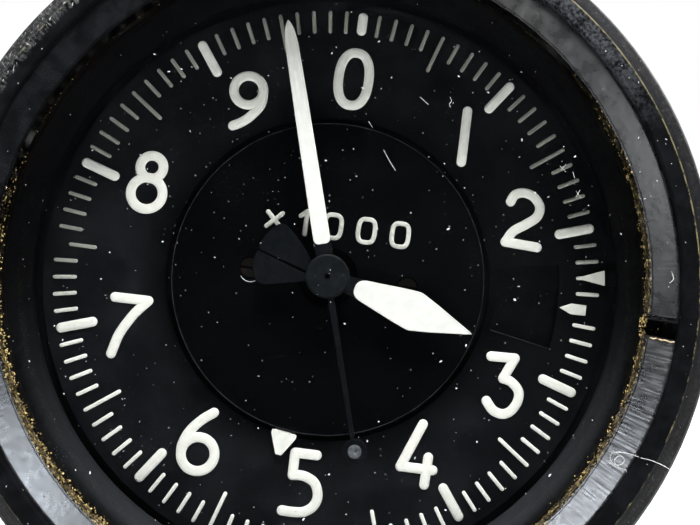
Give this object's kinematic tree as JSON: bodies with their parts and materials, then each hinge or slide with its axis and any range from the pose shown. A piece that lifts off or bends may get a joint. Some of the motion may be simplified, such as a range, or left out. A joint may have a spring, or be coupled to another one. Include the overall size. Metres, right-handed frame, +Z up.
{
  "type": "two-pointer barometric altimeter",
  "caption": "Panel altimeter with a round glazed dial, long and short pointers, movable indices, a pressure window, a setting knob and a static port at the rear.",
  "frame": {"origin": "centre of the body in the plane of the panel, at the collar's rear face", "axes": "+Y along the body to the rear, -Y towards the viewer, +Z up through the dial's 0"},
  "size_m": [0.0862, 0.1216, 0.0924],
  "materials": {
    "case_enamel": "black satin enamel, worn at the edges",
    "window_glass": "clear flat glass",
    "gasket_rubber": "dark rubber",
    "ring_enamel": "black satin paint",
    "wall_gloss": "glossy black",
    "brass_plate": "matt machined brass",
    "brass_gear": "fine machined brass",
    "bushing_brass": "darkened brass",
    "dial_screw_brass": "tarnished brass",
    "steel_screw": "bright turned steel",
    "spring_steel": "polished steel",
    "port_steel": "plated steel",
    "dial_black": "matt black dial paint",
    "dial_white": "off-white dial paint",
    "disc_black": "matt black paint on brass",
    "index_white": "off-white paint",
    "pointer_paint": "off-white paint, dark tail",
    "cap_dark": "dark grey",
    "packing_felt": "greased felt",
    "knob_plastic": "black moulded plastic",
    "capsule_bronze": "bright bronze membrane",
    "bimetal": "bare bimetal strip"
  },
  "bodies": {
    "case": {"case": "case_enamel", "glass": "window_glass", "glass_gasket": "gasket_rubber", "split_ring": "ring_enamel", "spacer_ring": "wall_gloss", "base_plate": "brass_plate", "base_screws": "steel_screw", "dial_seat_ring": "brass_plate", "dial_ring": "dial_black", "dial_centre": "dial_black", "dial_marks": "dial_white", "dial_boss": "brass_plate", "dial_screws": "dial_screw_brass", "neck_ring": "spring_steel", "static_port": "port_steel", "port_seal": "gasket_rubber", "knob_bushing": "bushing_brass", "gland_packing": "packing_felt", "gland_nut": "bushing_brass"},
    "knob": {"knob": "knob_plastic", "knob_shaft": "brass_gear", "knob_screw": "steel_screw"},
    "setting_idler": {"setting_idler": "brass_gear"},
    "metre_ring": {"metre_ring": "disc_black", "metre_index": "index_white"},
    "km_disc": {"km_disc": "disc_black", "km_index": "index_white"},
    "pressure_disc": {"pressure_disc": "disc_black"},
    "index_idler": {"index_idler": "brass_gear"},
    "setting_wheel": {"setting_wheel": "brass_gear"},
    "reduction_wheel": {"reduction_wheel": "brass_gear"},
    "short_hand": {"km_wheel": "brass_gear", "short_pointer": "pointer_paint"},
    "long_hand": {"pointer_arbor": "spring_steel", "long_pointer": "pointer_paint", "pointer_cap": "cap_dark"},
    "carrier": {"carrier_gear": "brass_gear", "carrier_posts": "brass_plate", "front_plate": "brass_plate", "middle_plate": "brass_plate", "rear_plate": "brass_plate", "short_pillars": "brass_plate", "long_pillars": "brass_plate", "plate_screws": "steel_screw", "capsule_bracket": "port_steel", "lower_capsule": "capsule_bronze", "upper_capsule": "capsule_bronze", "capsule_foot": "port_steel", "train_cock": "brass_plate", "hairspring": "spring_steel", "hairspring_stud": "brass_plate"},
    "train_wheel": {"train_wheel": "brass_gear"},
    "rocking_shaft": {"rocking_shaft": "spring_steel", "toothed_sector": "brass_gear", "rocking_lever": "spring_steel", "balance_weight": "brass_plate"},
    "link": {"link": "spring_steel"},
    "capsule_head": {"capsule_head": "port_steel", "bimetal_bow": "bimetal"}
  },
  "joints": [
    {"name": "setting", "type": "hinge", "parent": "case", "child": "carrier", "pos_m": [0, 0, 0], "axis": [0, 1, 0], "range_deg": [-97.2, 1882.8]},
    {"name": "knob_turn", "type": "hinge", "parent": "case", "child": "knob", "pos_m": [-0.01826, 0, -0.03915], "axis": [0, 1, 0], "range_deg": [-486, 9414]},
    {"name": "setting_idler_turn", "type": "hinge", "parent": "case", "child": "setting_idler", "pos_m": [-0.01108, 0, -0.03055], "axis": [0, 1, 0], "range_deg": [-16945.2, 874.8]},
    {"name": "metre_index_turn", "type": "hinge", "parent": "case", "child": "metre_ring", "pos_m": [0, 0, 0], "axis": [0, 1, 0], "range_deg": [-1882.8, 97.2]},
    {"name": "km_index_turn", "type": "hinge", "parent": "case", "child": "km_disc", "pos_m": [0, 0, 0], "axis": [0, 1, 0], "range_deg": [-188.28, 9.72]},
    {"name": "pressure_disc_turn", "type": "hinge", "parent": "case", "child": "pressure_disc", "pos_m": [0, 0, 0], "axis": [0, 1, 0], "range_deg": [-9.72, 188.28]},
    {"name": "index_idler_turn", "type": "hinge", "parent": "case", "child": "index_idler", "pos_m": [-0.00732, 0, 0.00347], "axis": [0, 1, 0], "range_deg": [-27.77, 537.94]},
    {"name": "setting_wheel_turn", "type": "hinge", "parent": "case", "child": "setting_wheel", "pos_m": [-0.0091, 0, 0], "axis": [0, 1, 0], "range_deg": [-627.6, 32.4]},
    {"name": "long_hand_turn", "type": "hinge", "parent": "carrier", "child": "long_hand", "pos_m": [0, 0, 0], "axis": [0, 1, 0], "range_deg": [-1063.77, 2536.17]},
    {"name": "short_hand_turn", "type": "hinge", "parent": "pressure_disc", "child": "short_hand", "pos_m": [0, 0, 0], "axis": [0, 1, 0], "range_deg": [-106.38, 253.62]},
    {"name": "reduction_wheel_turn", "type": "hinge", "parent": "setting_wheel", "child": "reduction_wheel", "pos_m": [-0.0091, 0, 0], "axis": [0, 1, 0], "range_deg": [-845.39, 354.59]},
    {"name": "train_wheel_turn", "type": "hinge", "parent": "carrier", "child": "train_wheel", "pos_m": [-0.00678, 0, -0.01062], "axis": [0, 1, 0], "range_deg": [-422.69, 177.3]},
    {"name": "rocking_shaft_turn", "type": "hinge", "parent": "carrier", "child": "rocking_shaft", "pos_m": [0.007, 0, 0.01095], "axis": [0, 1, 0], "range_deg": [-11.82, 28.18]},
    {"name": "link_turn", "type": "hinge", "parent": "rocking_shaft", "child": "link", "pos_m": [0.00007, 0, 0.00996], "axis": [0, 1, 0], "range_deg": [-28.18, 11.82]},
    {"name": "altitude", "type": "slide", "parent": "carrier", "child": "capsule_head", "axis": [0, 0, 1], "range_m": [-0.00141, 0.00337], "deforming": ["lower_capsule", "upper_capsule"]}
  ],
  "couplings": [
    {"joint": "knob_turn", "follows": "setting", "ratio": 5},
    {"joint": "setting_idler_turn", "follows": "setting", "ratio": -9},
    {"joint": "metre_index_turn", "follows": "setting", "ratio": -1},
    {"joint": "km_index_turn", "follows": "setting", "ratio": -0.1},
    {"joint": "pressure_disc_turn", "follows": "setting", "ratio": 0.1},
    {"joint": "index_idler_turn", "follows": "setting", "ratio": 0.28571},
    {"joint": "setting_wheel_turn", "follows": "setting", "ratio": -0.33333},
    {"joint": "long_hand_turn", "follows": "altitude", "rad_per_m": 13122},
    {"joint": "short_hand_turn", "follows": "altitude", "rad_per_m": 1312.2},
    {"joint": "reduction_wheel_turn", "follows": "altitude", "rad_per_m": -4374},
    {"joint": "train_wheel_turn", "follows": "altitude", "rad_per_m": -2187},
    {"joint": "rocking_shaft_turn", "follows": "altitude", "rad_per_m": 145.8},
    {"joint": "link_turn", "follows": "altitude", "rad_per_m": -145.8}
  ]
}
